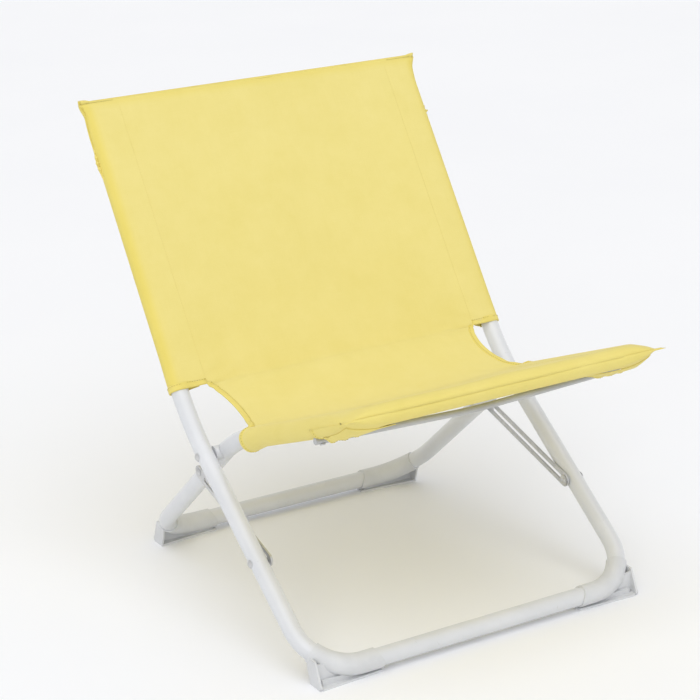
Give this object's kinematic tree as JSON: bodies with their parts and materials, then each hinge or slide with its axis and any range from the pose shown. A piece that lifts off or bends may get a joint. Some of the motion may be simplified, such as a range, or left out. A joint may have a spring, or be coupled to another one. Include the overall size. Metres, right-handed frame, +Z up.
{
  "type": "folding camp chair",
  "caption": "Low folding camp chair: two crossed bent-tube frames hinged at the sides, slotted stays, moulded corner feet and a one-piece fabric sling.",
  "frame": {"origin": "on the floor under the centre of the chair's bounding box", "axes": "+Z up, -Y the way the sitter faces, +X across the chair"},
  "size_m": [0.548, 0.6735, 0.6753],
  "materials": {
    "lacquered_steel": "gloss",
    "white_plastic": "satin",
    "zinc_steel": "satin",
    "sling_fabric": "matte woven"
  },
  "bodies": {
    "back_frame": {"back_tube_lower": "lacquered_steel", "back_tube_upper": "lacquered_steel", "front_foot_left": "white_plastic", "front_foot_right": "white_plastic", "pivot_rivets": "zinc_steel", "slide_rivets": "zinc_steel", "sling_back": "sling_fabric"},
    "seat_frame": {"seat_tube_rear": "lacquered_steel", "seat_tube_front": "lacquered_steel", "rear_foot_left": "white_plastic", "rear_foot_right": "white_plastic", "pivot_spacers": "white_plastic", "stay_rivets": "zinc_steel", "support_bar": "lacquered_steel", "support_screws": "zinc_steel", "sling_seat": "sling_fabric", "sling_web": "sling_fabric"},
    "stay_left": {"stay_left": "zinc_steel"},
    "stay_right": {"stay_right": "zinc_steel"},
    "slide_pin_left": {"slide_pin_left": "zinc_steel"},
    "slide_pin_right": {"slide_pin_right": "zinc_steel"}
  },
  "joints": [
    {"name": "fold", "type": "hinge", "parent": "back_frame", "child": "seat_frame", "pos_m": [0, 0.01797, 0.23117], "axis": [-1, 0, 0], "range_deg": [0, 88], "deforming": ["sling_web"]},
    {"name": "stay_left_swing", "type": "hinge", "parent": "seat_frame", "child": "stay_left", "pos_m": [-0.24285, 0.07248, 0.18506], "axis": [1, 0, 0], "range_deg": [0, 92]},
    {"name": "pin_left_slide", "type": "slide", "parent": "stay_left", "child": "slide_pin_left", "axis": [0, 0.9575, 0.2886], "range_m": [0, 0.1]},
    {"name": "stay_right_swing", "type": "hinge", "parent": "seat_frame", "child": "stay_right", "pos_m": [0.24285, 0.07248, 0.18506], "axis": [1, 0, 0], "range_deg": [0, 92]},
    {"name": "pin_right_slide", "type": "slide", "parent": "stay_right", "child": "slide_pin_right", "axis": [0, 0.9575, 0.2886], "range_m": [0, 0.1]}
  ],
  "couplings": [
    {"joint": "stay_left_swing", "follows": "fold", "ratio": 1.03},
    {"joint": "pin_left_slide", "follows": "fold", "m_per_rad": 0.0642},
    {"joint": "stay_right_swing", "follows": "fold", "ratio": 1.03},
    {"joint": "pin_right_slide", "follows": "fold", "m_per_rad": 0.0642}
  ]
}
